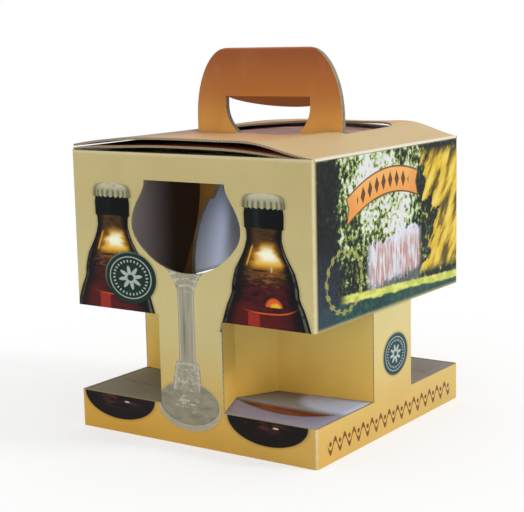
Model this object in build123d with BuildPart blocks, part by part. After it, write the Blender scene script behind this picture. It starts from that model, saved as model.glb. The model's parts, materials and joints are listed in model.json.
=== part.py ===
"""Folded carrier carton for four bottles and a stemmed glass.

A square sleeve of thin corrugated board has a deep upper band and a low
tray, joined by one column in the middle of each wall. At each corner the
board between band and tray is pushed inward to make a bottle cell. Two full
width lid flaps close the top, and a folded handle stands up through them.

The frame has +Z up and its origin at the middle of the underside. The front
faces -Y, and the picture side faces +X. All sizes are in millimetres.
"""

import os

from build123d import *

# Board
BOARD = 1.6  # thickness of the corrugated board
FOLD_RADIUS = 2.0  # outside radius of a folded upright edge
FIT = 0.3  # clearance between pieces that are slipped together

# Sleeve
SIDE = 208.0  # outside width and depth
WALL_TOP = 207.5  # height of the folds that the lid flaps hang on
BAND_BOTTOM = 93.0  # lower edge of the band round the top
TRAY_TOP = 28.0  # upper edge of the tray walls
COLUMN_WIDTH = 55.0  # width of the column in each wall

# Pushed-in corner strips, as the lengths between folds in one quarter
STRIP_FIRST = 41.0  # from the front column to the first fold, out of one corner's run
STRIP_SKEW = 8.0  # how far the third length leans away from its column

# Window in the shape of a glass bowl, as half widths at heights
WINDOW_CENTRE = -2.0  # the window and the print sit a little to the left
WINDOW_TOP = 188.5
WINDOW_TOP_HALF = 35.0
WINDOW_NECK = (35.7, 184.5)
WINDOW_SHOULDER = (40.5, 175.5)
WINDOW_BELLY = (47.5, 159.0)
WINDOW_UNDER = (43.5, 145.3)
WINDOW_BOWL = (26.0, 129.8)
WINDOW_BOTTOM = 124.0

# Dust flaps and lid flaps
FLAP_INSET = 0.8  # gap between the side of a lid flap and the wall it passes
DUST_LENGTH = 60.0  # from the wall to the free edge
DUST_DROP = 3.0  # how far the free edge hangs below the fold
DUST_TAPER = 14.0  # how far each side of a dust flap is cut back
LID_RISE = 10.7  # how far the top of the upper lid flap stands above its fold
LID_CREST = 43.0  # from the fold of the upper lid flap to its bend
LID_LEFT_RISE = 4.2  # height of the free edge of the upper lid flap
UNDER_RISE = 5.4  # height of the arch in the lower lid flap at its front edge
UNDER_BACK_RISE = 8.3  # the same at its back edge
UNDER_DIP = 2.4  # height of that arch in front of the handle
UNDER_BEHIND = 4.8  # height of that arch behind the handle
UNDER_STOP = 13.0  # from the free edge of the lower lid flap to the right wall
HINGE_GAP = 0.3  # clearance between the upper lid flap and the wall below it
# dip of the upper lid flap and shift of its bend, from the front edge to the back edge
LID_FRONT = (0.0, -7.0)
LID_AT_HANDLE = (3.8, 2.0)
LID_BEHIND = (-1.2, 7.0)
LID_BACK = (0.2, 8.0)
# lower lid flap from its fold to its free edge, as shares of its length and of its arch
UNDER_SHARES = [(0.0, 0.0), (0.08, 0.4), (0.2, 0.7), (0.34, 0.94), (0.5, 1.0)]
UNDER_SHARES += [(0.66, 0.94), (0.8, 0.72), (0.91, 0.34), (1.0, 0.0)]
# left part of the upper lid flap, as shares of the half width, of its rise and of its dip
LID_SHARES = [(-0.72, 0.78, 0.25), (-0.42, 0.98, 0.85), (0.0, 1.02, 1.0)]
NEAR_CREST_SHARES = (0.6, 1.0, 0.75)  # of the way to the crest, of the rise and of the dip
CREST_SHARES = (1.0, 0.94, 0.12)  # the same at the crest
SLOPE_SHARE = 0.46  # of the rise, halfway down the slope

# Handle and the frame below it
HANDLE_TOP = 278.0
HANDLE_HALF = 65.0  # half width of the handle where it leaves the lid
HANDLE_SHOULDER = 226.0  # height at which the rounded shoulders begin
HANDLE_CROWN_HALF = 36.0  # half width of the straight top fold
HANDLE_GAP = 1.2  # gap between the two layers
GRIP_TOP = 242.0  # straight upper edge of the hand hole
GRIP_HALF = 37.8  # half width of the hand hole
GRIP_CORNER = 7.0  # straight drop at each end before the hand hole curves in
GRIP_DEPTH = 29.0  # depth of the curved part of the hand hole
TONGUE_ANGLE = 74.0  # how far the hand hole tongue is pushed back, in degrees
FRAME_SHOULDER = 176.0  # height at which the legs begin to spread
FRAME_LEG_BEND = (83.0, 104.0)  # where the outside of a leg spreads fastest
FOOT_CLEAR = 1.4  # from the outside of a foot to the wall beside it
FRAME_LEG_INNER = 66.0  # half distance between the feet
ARCH_TOP = 188.0  # top of the opening between the legs
ARCH_TOP_HALF = 30.0
ARCH_SHOULDER = (54.0, 162.5)
ARCH_NICK = 4.0  # small step cut into the shoulder of that opening
ARCH_BELLY = (75.0, 115.0)

# Openings round the handle in the two lid flaps
SLOT_CLEAR = 5.0  # from the end of the handle to the end of a slot
SLOT_FRONT = 2.8  # from the front layer of the handle to the slot edge
UNDER_SLOT_BACK = 10.0  # depth of the lower slot behind the middle plane
LID_OPENING_BACK = 76.0  # depth of the upper opening behind the middle plane
LID_OPENING_CORNER = 20.0  # radius of its far right corner
LID_OPENING_BEND = 22.0  # where its far edge begins to curve towards the left end
LID_OPENING_SIDE = (-38.0, 55.0)  # a point of that curve

# Unprinted sheet that stands in the tray
INSERT_DROP = 0.3  # how far its top lies below the edge of the tray
SLIT_OFFSET = 36.0  # from the front or back skirt to the slit in a corner
SLIT_START = 11.0  # end of the slit near the middle plane
SLIT_END = 96.0  # end of the slit near the side wall
SLIT_GAP = 0.8  # width of a slit that is closed
PRESSED_SAG = 5.5  # how far the sheet is pressed down beside the open slit
RESTING_SAG = 0.8  # the same beside the three closed slits
FOOT_HOLE_RADIUS = 34.0  # hole that the foot of the glass goes through

# Bottom flaps
SEAM = 1.0  # gap where two bottom flaps meet

HALF = SIDE / 2
INSIDE = HALF - BOARD
FLOOR = 2 * BOARD
CORNER_RUN = HALF - COLUMN_WIDTH / 2  # length of the cut from a column to its corner
STRIP_SECOND = CORNER_RUN - STRIP_FIRST
UNDER_LENGTH = SIDE - UNDER_STOP
LID_HALF = INSIDE - FLAP_INSET
FRAME_LEG_OUTER = INSIDE - FOOT_CLEAR  # half width of the frame at its feet
HANDLE_DEPTH = HANDLE_GAP + 2 * BOARD
SLOT_Y = -(HANDLE_DEPTH / 2 + SLOT_FRONT)
SLOT_HALF = HANDLE_HALF + SLOT_CLEAR
HIDDEN = 12.0  # length by which a cutting shape runs past what it cuts


def strip_path():
    """Folds of the pushed-in strip in the quarter with +X and -Y, seen from above."""
    column = COLUMN_WIDTH / 2 - BOARD / 2
    wall = HALF - BOARD / 2
    start = Vector(column, -wall)
    end = Vector(wall, -column)
    second = end + Vector(-(CORNER_RUN**2 - STRIP_SKEW**2) ** 0.5, -STRIP_SKEW)
    span = (second - start).length
    along = (STRIP_FIRST**2 - STRIP_SECOND**2 + span**2) / (2 * span)
    aside = (STRIP_FIRST**2 - along**2) ** 0.5
    direction = (second - start).normalized()
    first = start + direction * along + Vector(-direction.Y, direction.X) * aside
    return [start, first, second, end]


def bent_board(top_points):
    """Section of a bent flap: a spline along its top, and one board thick."""
    with BuildSketch(mode=Mode.PRIVATE) as section:
        with BuildLine():
            top = Spline(*top_points)
            bottom = Spline(*[(x, z - BOARD) for x, z in top_points])
            Line(top @ 0, bottom @ 0)
            Line(top @ 1, bottom @ 1)
        make_face()
    return section.sketch


def lower_flap_top(rise):
    """Top of the lower lid flap, an arch from its fold to its free edge."""
    return [
        (-HALF + along * UNDER_LENGTH, WALL_TOP + up * rise) for along, up in UNDER_SHARES
    ]


def upper_flap_top(dip, crest_shift):
    """Top of the upper lid flap, from its free edge on the left to its fold."""
    crest = HALF - LID_CREST + crest_shift
    stations = [(along * HALF, up, down) for along, up, down in LID_SHARES]
    stations += [(along * crest, up, down) for along, up, down in (NEAR_CREST_SHARES, CREST_SHARES)]
    points = [(x, WALL_TOP + up * LID_RISE - down * dip) for x, up, down in stations]
    points.insert(0, (-HALF, WALL_TOP + LID_LEFT_RISE))
    points.append(((crest + HALF) / 2, WALL_TOP + SLOPE_SHARE * LID_RISE))
    points.append((HALF, WALL_TOP))
    return points


def bowl_outline():
    """Outline of the bowl window: the right half, then its mirror."""
    with BuildSketch(mode=Mode.PRIVATE) as outline:
        with BuildLine():
            side = Spline(
                (WINDOW_TOP_HALF, WINDOW_TOP),
                WINDOW_NECK,
                WINDOW_SHOULDER,
                WINDOW_BELLY,
                WINDOW_UNDER,
                WINDOW_BOWL,
                (0, WINDOW_BOTTOM),
                tangents=[(0.1, -1), (-1, 0)],
            )
            Line((0, WINDOW_TOP), side @ 0)
            Line((0, WINDOW_TOP), side @ 1)
        make_face()
        mirror(about=Plane.YZ)
    return outline.sketch


# Carton: one folded blank with sleeve, pushed-in strips, bottom and flaps
with BuildPart() as carton:
    # upright walls
    with BuildSketch():
        RectangleRounded(SIDE, SIDE, FOLD_RADIUS)
        RectangleRounded(2 * INSIDE, 2 * INSIDE, FOLD_RADIUS - BOARD, mode=Mode.SUBTRACT)
    extrude(amount=WALL_TOP)
    # the corners between band and tray are open outside the columns
    corner = CORNER_RUN + HIDDEN
    with BuildSketch(Plane.XY.offset(TRAY_TOP)):
        with GridLocations(COLUMN_WIDTH + corner, COLUMN_WIDTH + corner, 2, 2):
            Rectangle(corner, corner)
    extrude(amount=BAND_BOTTOM - TRAY_TOP, mode=Mode.SUBTRACT)
    # one strip of the same board is pushed in at each corner
    with BuildSketch(Plane.XY.offset(TRAY_TOP)):
        with BuildLine():
            FilletPolyline(*strip_path(), radius=BOARD)
        trace(line_width=BOARD)
        mirror(about=Plane.YZ)
        mirror(about=Plane.XZ)
    extrude(amount=BAND_BOTTOM - TRAY_TOP)
    # bottom flaps: the inner pair meets at x = 0 and the outer pair at y = 0
    with BuildSketch(Plane.XY.offset(BOARD)):
        with GridLocations(INSIDE + SEAM / 2, 0, 2, 1):
            Rectangle(INSIDE - SEAM / 2, 2 * INSIDE)
    extrude(amount=BOARD)
    with BuildSketch():
        with GridLocations(0, INSIDE + SEAM / 2, 1, 2):
            Rectangle(2 * INSIDE, INSIDE - SEAM / 2)
    extrude(amount=BOARD)
    # the same bowl window in the front and the back wall
    with BuildSketch(Plane.XZ):
        with Locations((WINDOW_CENTRE, 0)):
            add(bowl_outline())
    extrude(amount=SIDE, both=True, mode=Mode.SUBTRACT)
    # the right wall stops short under the fold of the upper lid flap
    with BuildSketch(Plane.XY.offset(WALL_TOP)):
        with Locations((INSIDE + HIDDEN / 2, 0)):
            Rectangle(HIDDEN, 2 * INSIDE)
    extrude(amount=-(BOARD + HINGE_GAP), mode=Mode.SUBTRACT)
    # front and back dust flaps, which hang a little below their folds
    with BuildSketch(Plane.YZ) as dust_section:
        with BuildLine():
            Polyline(
                (-HALF + FOLD_RADIUS / 2, WALL_TOP),
                (-HALF + DUST_LENGTH, WALL_TOP - DUST_DROP),
                (-HALF + DUST_LENGTH, WALL_TOP - DUST_DROP - BOARD),
                (-HALF + FOLD_RADIUS / 2, WALL_TOP - BOARD),
                close=True,
            )
        make_face()
        mirror(about=Plane.YZ)
    extrude(amount=LID_HALF - DUST_TAPER, both=True)
    # lower lid flap, which belongs to the left wall
    for y, rise in [
        (-LID_HALF, UNDER_RISE),
        (SLOT_Y, UNDER_DIP),
        (UNDER_SLOT_BACK, UNDER_BEHIND),
        (LID_HALF, UNDER_BACK_RISE),
    ]:
        with BuildSketch(Plane.XZ.offset(-y)):
            add(bent_board(lower_flap_top(rise)))
    loft(ruled=True)
    # the handle passes through a slot with a bowed far edge
    with BuildSketch(Plane.XY.offset(WALL_TOP - HIDDEN)):
        with BuildLine():
            left_end, right_end = (-SLOT_HALF, -SLOT_Y), (SLOT_HALF, -SLOT_Y)
            Polyline(left_end, (-SLOT_HALF, SLOT_Y), (SLOT_HALF, SLOT_Y), right_end)
            ThreePointArc(left_end, (0, UNDER_SLOT_BACK), right_end)
        make_face()
    extrude(amount=2 * HIDDEN, mode=Mode.SUBTRACT)

# Upper lid flap, hinged on the right wall
with BuildPart() as top_flap:
    for y, (dip, crest_shift) in [
        (-LID_HALF, LID_FRONT),
        (SLOT_Y, LID_AT_HANDLE),
        (LID_OPENING_BACK, LID_BEHIND),
        (LID_HALF, LID_BACK),
    ]:
        with BuildSketch(Plane.XZ.offset(-y)):
            add(bent_board(upper_flap_top(dip, crest_shift)))
    loft(ruled=True)
    # the handle passes through an opening that reaches well behind it
    with BuildSketch(Plane.XY.offset(WALL_TOP - HIDDEN)):
        with BuildLine():
            corner_y = LID_OPENING_BACK - LID_OPENING_CORNER
            corner_x = SLOT_HALF - LID_OPENING_CORNER
            front = Line((-SLOT_HALF, SLOT_Y), (SLOT_HALF, SLOT_Y))
            right = Line(front @ 1, (SLOT_HALF, corner_y))
            turn = TangentArc(right @ 1, (corner_x, LID_OPENING_BACK), tangent=(0, 1))
            far = Line(turn @ 1, (LID_OPENING_BEND, LID_OPENING_BACK))
            left = Spline(far @ 1, LID_OPENING_SIDE, (-SLOT_HALF, 0), tangents=[(-1, 0), (0, -1)])
            Line(left @ 1, front @ 0)
        make_face()
    extrude(amount=2 * HIDDEN + LID_RISE, mode=Mode.SUBTRACT)


def handle_outline():
    """Outline of the handle and its frame: the right half, then its mirror."""
    foot = TRAY_TOP - INSERT_DROP
    with BuildSketch(mode=Mode.PRIVATE) as outline:
        with BuildLine():
            top = Line((0, HANDLE_TOP), (HANDLE_CROWN_HALF, HANDLE_TOP))
            shoulder = EllipticalCenterArc(
                (HANDLE_CROWN_HALF, HANDLE_SHOULDER),
                HANDLE_HALF - HANDLE_CROWN_HALF,
                HANDLE_TOP - HANDLE_SHOULDER,
                start_angle=0,
                arc_size=90,
            )
            side = Line(shoulder @ 0, (HANDLE_HALF, FRAME_SHOULDER))
            leg = Spline(
                side @ 1, FRAME_LEG_BEND, (FRAME_LEG_OUTER, foot), tangents=[(0, -1), (0.12, -1)]
            )
            sole = Line(leg @ 1, (FRAME_LEG_INNER, foot))
            inner = Spline(
                sole @ 1,
                ARCH_BELLY,
                (ARCH_SHOULDER[0] + ARCH_NICK, ARCH_SHOULDER[1]),
                tangents=[(0, 1), (-0.7, 1)],
            )
            nick = Line(inner @ 1, ARCH_SHOULDER)
            upper = Spline(
                nick @ 1, (ARCH_TOP_HALF, ARCH_TOP), tangents=[(-0.5, 1), (-1, 0.25)]
            )
            lintel = Line(upper @ 1, (0, ARCH_TOP))
            Line(lintel @ 1, top @ 0)
        make_face()
        mirror(about=Plane.YZ)
    return outline.sketch


def grip_outline(depth):
    """Outline of the hand hole or of its tongue, hanging from y = 0 down to depth."""
    with BuildSketch(mode=Mode.PRIVATE) as outline:
        with BuildLine():
            left_end, right_end = (-GRIP_HALF, -GRIP_CORNER), (GRIP_HALF, -GRIP_CORNER)
            Polyline(left_end, (-GRIP_HALF, 0), (GRIP_HALF, 0), right_end)
            EllipticalCenterArc(
                (0, -GRIP_CORNER), GRIP_HALF, depth - GRIP_CORNER, start_angle=180, arc_size=180
            )
        make_face()
    return outline.sketch


# Handle: two layers of one insert, joined at the fold along the top
with BuildPart() as carry_handle:
    with BuildSketch(Plane.XZ.offset(HANDLE_DEPTH / 2)):
        add(handle_outline())
    extrude(amount=-HANDLE_DEPTH)
    # seen from the side it is a hairpin, with a round fold along the top
    fold_centre = HANDLE_TOP - HANDLE_DEPTH / 2
    with BuildSketch(Plane.YZ):
        with Locations((0, fold_centre)):
            Circle(HANDLE_DEPTH / 2)
        with Locations((0, fold_centre / 2)):
            Rectangle(HANDLE_DEPTH, fold_centre)
            Rectangle(HANDLE_GAP, fold_centre, mode=Mode.SUBTRACT)
        with Locations((0, fold_centre)):
            Circle(HANDLE_GAP / 2, mode=Mode.SUBTRACT)
    extrude(amount=HALF, both=True, mode=Mode.INTERSECT)
    # hand hole through both layers
    hole_depth = GRIP_CORNER + GRIP_DEPTH
    grip_plane = Plane(origin=(0, HANDLE_DEPTH, GRIP_TOP), x_dir=(1, 0, 0), z_dir=(0, -1, 0))
    with BuildSketch(grip_plane):
        add(grip_outline(hole_depth))
    extrude(amount=2 * HANDLE_DEPTH, mode=Mode.SUBTRACT)
    # its tongue stays on the front layer and is pushed back through the hole
    tongue_plane = Plane(
        origin=(0, -HANDLE_DEPTH / 2, GRIP_TOP), x_dir=(1, 0, 0), z_dir=(0, -1, 0)
    ).rotated((TONGUE_ANGLE, 0, 0))
    with BuildSketch(tongue_plane):
        add(grip_outline(hole_depth - FIT))
    extrude(amount=-BOARD)

# Sheet that stands in the tray under the strips, with its skirts on the floor
with BuildPart() as tray_insert:
    half = INSIDE - FIT
    level = TRAY_TOP - INSERT_DROP
    with BuildSketch(Plane.XY.offset(FLOOR)):
        RectangleRounded(2 * half, 2 * half, BOARD)
    extrude(amount=level - FLOOR)
    with BuildSketch(Plane.XY.offset(FLOOR)):
        Rectangle(2 * (half - BOARD), 2 * (half - BOARD))
    extrude(amount=level - FLOOR - BOARD, mode=Mode.SUBTRACT)
    with BuildSketch(Plane.XY.offset(level)):
        Circle(FOOT_HOLE_RADIUS)
    extrude(amount=-2 * BOARD, mode=Mode.SUBTRACT)
    # beside each slit the sheet is a strip that bows down towards the slit
    slit_y = half - SLIT_OFFSET
    slit_length = SLIT_END - SLIT_START
    middle = (SLIT_START + SLIT_END) / 2
    with BuildSketch(Plane.XY.offset(level)):
        with GridLocations(2 * middle, half + slit_y - BOARD, 2, 2):
            Rectangle(slit_length, half - BOARD - slit_y)
    extrude(amount=-2 * BOARD, mode=Mode.SUBTRACT)
    for across, along, sag in [
        (1, -1, PRESSED_SAG),
        (-1, -1, RESTING_SAG),
        (1, 1, RESTING_SAG),
        (-1, 1, RESTING_SAG),
    ]:
        ends = [across * SLIT_START, across * SLIT_END]
        sections = []
        for y, drop in [(along * (half - BOARD), 0.0), (along * (slit_y + SLIT_GAP), sag)]:
            with BuildSketch(Plane.XZ.offset(-y)) as section:
                with BuildLine():
                    if drop:
                        centre = across * middle
                        top = ThreePointArc((ends[0], level), (centre, level - drop), (ends[1], level))
                        low = ThreePointArc(
                            (ends[0], level - BOARD), (centre, level - drop - BOARD), (ends[1], level - BOARD)
                        )
                    else:
                        top = Line((ends[0], level), (ends[1], level))
                        low = Line((ends[0], level - BOARD), (ends[1], level - BOARD))
                    Line(top @ 0, low @ 0)
                    Line(top @ 1, low @ 1)
                make_face()
            sections.append(section.sketch)
        loft(sections)

os.makedirs("parts", exist_ok=True)
for name, piece in [
    ("carton", carton),
    ("top_flap", top_flap),
    ("carry_handle", carry_handle),
    ("tray_insert", tray_insert),
]:
    piece.part.label = name
    export_step(piece.part, f"parts/{name}.step")
    solids = piece.part.solids()
    print(name, "solids", len(solids), "volume", round(piece.part.volume), "valid", piece.part.is_valid)
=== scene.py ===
"""Looks of a folded carrier box for four short bottles and a stemmed glass.

The box is a printed sleeve of thin corrugated board with a window in the shape
of a glass bowl in its front and back, open bottle cells at its corners, two lid
flaps and a folded handle. Every visible board starts from the fixed frame, gets
its folds and cut edges softened, and is dressed side by side: print outside,
bare grey liner inside and fluted board along the cuts. Lengths in the shader
code are millimetres, and lengths of meshes are metres.
"""

import json
import logging
import math
from dataclasses import dataclass
from enum import Enum

import bmesh
import bpy
from mathutils import Matrix, Vector

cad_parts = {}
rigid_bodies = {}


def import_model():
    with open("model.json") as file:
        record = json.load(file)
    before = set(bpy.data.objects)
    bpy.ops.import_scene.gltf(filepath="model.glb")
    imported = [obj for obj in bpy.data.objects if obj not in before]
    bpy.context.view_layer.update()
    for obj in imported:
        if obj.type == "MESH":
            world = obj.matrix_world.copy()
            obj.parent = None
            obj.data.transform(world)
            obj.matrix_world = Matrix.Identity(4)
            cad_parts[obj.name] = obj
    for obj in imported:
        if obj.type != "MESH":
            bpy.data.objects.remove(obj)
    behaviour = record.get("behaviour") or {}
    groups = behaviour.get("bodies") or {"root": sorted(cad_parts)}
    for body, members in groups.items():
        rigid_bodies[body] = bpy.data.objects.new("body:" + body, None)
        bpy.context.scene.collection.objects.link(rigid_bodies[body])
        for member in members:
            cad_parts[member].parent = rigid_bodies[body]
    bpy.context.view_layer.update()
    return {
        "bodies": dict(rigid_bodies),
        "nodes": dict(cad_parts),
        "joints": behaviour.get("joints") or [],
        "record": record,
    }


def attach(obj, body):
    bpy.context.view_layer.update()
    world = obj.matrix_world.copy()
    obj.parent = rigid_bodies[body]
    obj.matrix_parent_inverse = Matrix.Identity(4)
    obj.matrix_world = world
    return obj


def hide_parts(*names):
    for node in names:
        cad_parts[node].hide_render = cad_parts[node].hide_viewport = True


log = logging.getLogger("carrier_box")

MM = 0.001
Number = float | int
Pair = tuple[float, float]
Colour = tuple[float, float, float]
Spot = tuple[Pair, Pair]
Stops = tuple[Pair, ...]
Tones = tuple[tuple[float, Colour], ...]


def paint(red: int, green: int, blue: int) -> Colour:
    """Turns a colour as it looks on a screen, 0 to 255, into linear light.

    Args:
        red: Red share of the colour.
        green: Green share of the colour.
        blue: Blue share of the colour.

    Returns:
        The three shares in linear light, 0 to 1.
    """
    shares = (share / 255 for share in (red, green, blue))
    return tuple(s / 12.92 if s <= 0.04045 else ((s + 0.055) / 1.055) ** 2.4 for s in shares)


class Value:
    """A socket that takes part in Python expressions and adds Math nodes."""

    def __init__(self, tree: "Tree", socket: bpy.types.NodeSocket) -> None:
        """Keeps the socket and the tree that new nodes go to."""
        self.tree = tree
        self.socket = socket

    def math(self, operation: str, *others: "Value | Number") -> "Value":
        """Adds a Math node that takes this value first.

        Args:
            operation: The Math node's operation.
            others: What goes to its other inputs.

        Returns:
            The node's result.
        """
        feeds = dict(enumerate((self, *others)))
        made = self.tree.node("ShaderNodeMath", {"operation": operation}, feeds)
        return Value(self.tree, made.outputs[0])

    def reflected(self, operation: str, first: Number) -> "Value":
        """Adds a Math node that takes this value second."""
        made = self.tree.node("ShaderNodeMath", {"operation": operation}, {0: first, 1: self})
        return Value(self.tree, made.outputs[0])

    def __add__(self, other: "Value | Number") -> "Value":
        """Sum."""
        return self.math("ADD", other)

    __radd__ = __add__

    def __sub__(self, other: "Value | Number") -> "Value":
        """Difference."""
        return self.math("SUBTRACT", other)

    def __rsub__(self, other: Number) -> "Value":
        """Difference from a plain number."""
        return self.reflected("SUBTRACT", other)

    def __mul__(self, other: "Value | Number") -> "Value":
        """Product."""
        return self.math("MULTIPLY", other)

    __rmul__ = __mul__

    def __truediv__(self, other: "Value | Number") -> "Value":
        """Quotient."""
        return self.math("DIVIDE", other)

    def __pow__(self, other: Number) -> "Value":
        """Power."""
        return self.math("POWER", other)

    def __abs__(self) -> "Value":
        """Size without its sign."""
        return self.math("ABSOLUTE")

    def __gt__(self, other: "Value | Number") -> "Value":
        """One where this value is larger, and zero elsewhere."""
        return self.math("GREATER_THAN", other)

    def __lt__(self, other: "Value | Number") -> "Value":
        """One where this value is smaller, and zero elsewhere."""
        return self.math("LESS_THAN", other)

    def sin(self) -> "Value":
        """Sine."""
        return self.math("SINE")

    def asin(self) -> "Value":
        """Angle whose sine this value is."""
        return self.math("ARCSINE")

    def high(self, other: "Value | Number") -> "Value":
        """The larger of the two."""
        return self.math("MAXIMUM", other)

    def low(self, other: "Value | Number") -> "Value":
        """The smaller of the two."""
        return self.math("MINIMUM", other)

    def ease(self, start: Number, end: Number) -> "Value":
        """Rises smoothly from 0 at start to 1 at end, which may lie below start.

        Args:
            start: Where the result is 0.
            end: Where the result is 1.

        Returns:
            The eased share.
        """
        settings = {"interpolation_type": "SMOOTHSTEP"}
        if start > end:
            return 1 - self.ease(end, start)
        feeds = {"Value": self, "From Min": start, "From Max": end}
        made = self.tree.node("ShaderNodeMapRange", settings, feeds)
        return Value(self.tree, made.outputs["Result"])

    def near(self, centre: "Value | Number", start: Number, end: Number) -> "Value":
        """Eases the distance from a centre."""
        return abs(self - centre).ease(start, end)

    def profile(self, stops: Stops) -> "Value":
        """Looks this value up on a line through a few points.

        Args:
            stops: Places in rising order, each with the height of the line there.

        Returns:
            The height of the line at this value.
        """
        start, end = stops[0][0], stops[-1][0]
        top = max(height for _, height in stops)
        shares = tuple(
            ((place - start) / (end - start), (height / top,) * 3) for place, height in stops)
        return self.tree.tones((self - start) / (end - start), shares) * top


class Tree:
    """A node tree of a material or of the world."""

    def __init__(self, holder: bpy.types.Material | bpy.types.World) -> None:
        """Empties the tree of its holder."""
        holder.use_nodes = True
        self.tree = holder.node_tree
        self.tree.nodes.clear()

    def node(self, kind: str, settings: dict | None = None, feeds: dict | None = None
             ) -> bpy.types.Node:
        """Adds one node.

        Args:
            kind: The node's type.
            settings: Its settings, set before its sockets. A ramp's stops are pairs of
                place and colour.
            feeds: What its sockets hold or are linked to, by name or by number.

        Returns:
            The new node.
        """
        made = self.tree.nodes.new(kind)
        for key, setting in (settings or {}).items():
            if key == "stops":
                self.stops(made.color_ramp, setting)
            else:
                setattr(made, key, setting)
        for key, feed in (feeds or {}).items():
            if isinstance(feed, Value):
                self.tree.links.new(feed.socket, made.inputs[key])
            elif isinstance(feed, tuple) and made.inputs[key].type == "RGBA":
                made.inputs[key].default_value = (*feed, 1.0)
            else:
                made.inputs[key].default_value = feed
        return made

    def shader(self, kind: str, feeds: dict) -> Value:
        """Adds a node and takes its first output."""
        return Value(self, self.node(kind, feeds=feeds).outputs[0])

    def stops(self, ramp: bpy.types.ColorRamp, tones: Tones) -> None:
        """Lays colours on a ramp.

        Args:
            ramp: The ramp, which has two stops when it is new.
            tones: Place from 0 to 1 and colour of each stop, in rising order.
        """
        ramp.interpolation = "LINEAR"
        while len(ramp.elements) < len(tones):
            ramp.elements.new(1.0)
        for element, (place, colour) in zip(ramp.elements, tones):
            element.position = place
            element.color = (*colour, 1.0)

    def tones(self, value: Value, tones: Tones) -> Value:
        """Looks a value from 0 to 1 up on a strip of colours."""
        made = self.node("ShaderNodeValToRGB", {"stops": tones}, {"Fac": value})
        return Value(self, made.outputs["Color"])

    def seen(self) -> Value:
        """One for rays from the camera and for rays from gloss and glass."""
        rays = self.node("ShaderNodeLightPath").outputs
        kinds = ("Camera", "Glossy", "Transmission")
        return sum(Value(self, rays[f"Is {kind} Ray"]) for kind in kinds).low(1.0)


class Graph(Tree):
    """The node tree of one material, with the place of each point of the board."""

    def __init__(self, name: str) -> None:
        """Starts an empty material with the place of each point in object space."""
        self.material = bpy.data.materials.new(name)
        super().__init__(self.material)
        self.place = Value(self, self.node("ShaderNodeTexCoord").outputs["Object"])
        parts = self.node("ShaderNodeSeparateXYZ", feeds={0: self.place}).outputs
        self.x, self.y, self.z = (Value(self, part) / MM for part in parts)

    def noise(self, size: float, detail: float = 3.0, stretch: Colour = (1, 1, 1),
              turn: Colour = (0, 0, 0)) -> Value:
        """Soft irregular blotches.

        Args:
            size: Width of a blotch in millimetres.
            detail: How many finer layers are added.
            stretch: How much longer the blotches are along each axis.
            turn: Turns of those axes in radians.

        Returns:
            A value round one half.
        """
        feeds = {"Vector": self.place, "Scale": stretch, "Rotation": turn}
        place = self.node("ShaderNodeMapping", {"vector_type": "TEXTURE"}, feeds).outputs[0]
        feeds = {"Vector": Value(self, place), "Scale": 1 / (size * MM), "Detail": detail}
        return self.shader("ShaderNodeTexNoise", feeds)

    def mix(self, share: Value | Number, first: Value | Colour, second: Value | Colour) -> Value:
        """Goes from the first colour to the second as share goes from 0 to 1."""
        settings = {"data_type": "RGBA", "blend_type": "MIX"}
        made = self.node("ShaderNodeMix", settings, {0: share, 6: first, 7: second})
        return Value(self, made.outputs[2])

    def coats(self, colour: Value | Colour, *coats: tuple[Value, Value | Colour]) -> Value:
        """Lays coats of colour over a first one.

        Args:
            colour: The first colour.
            coats: How much of each coat shows, from 0 to 1, and its colour.

        Returns:
            The colour with all coats on it.
        """
        for share, coat in coats:
            colour = self.mix(share, colour, coat)
        return colour

    def shade(self, colour: Value, amount: Value) -> Value:
        """Darkens a colour towards black by an amount from 0 to 1."""
        return self.mix(amount, colour, (0.0, 0.0, 0.0))

    def oval(self, across: Value, up: Value, centre: Pair, radii: Pair) -> Value:
        """Distance from a centre, in shares of an ellipse's radii.

        Args:
            across: Place along the wall.
            up: Height on the wall.
            centre: Centre of the ellipse.
            radii: Its half width and half height.

        Returns:
            A value that is 1 on the ellipse.
        """
        reach = ((across - centre[0]) / radii[0]) ** 2 + ((up - centre[1]) / radii[1]) ** 2
        return reach ** 0.5

    def surface(self, colour: Value | Colour, roughness: Value | Number, height: Value,
                depth: float) -> bpy.types.Material:
        """Ends the tree with a plain shader and a bump.

        Args:
            colour: Colour of the surface.
            roughness: Its roughness.
            height: Relief of the surface, in shares of depth.
            depth: Depth of the relief in millimetres.

        Returns:
            The finished material.
        """
        feeds = {
            "Base Color": colour,
            "Roughness": roughness,
            "IOR": 1.45,
            "Specular IOR Level": 0.15,
            "Normal": self.shader("ShaderNodeBump", {"Height": height, "Distance": depth * MM}),
        }
        surface = self.shader("ShaderNodeBsdfPrincipled", feeds)
        self.node("ShaderNodeOutputMaterial", feeds={"Surface": surface})
        return self.material


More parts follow.
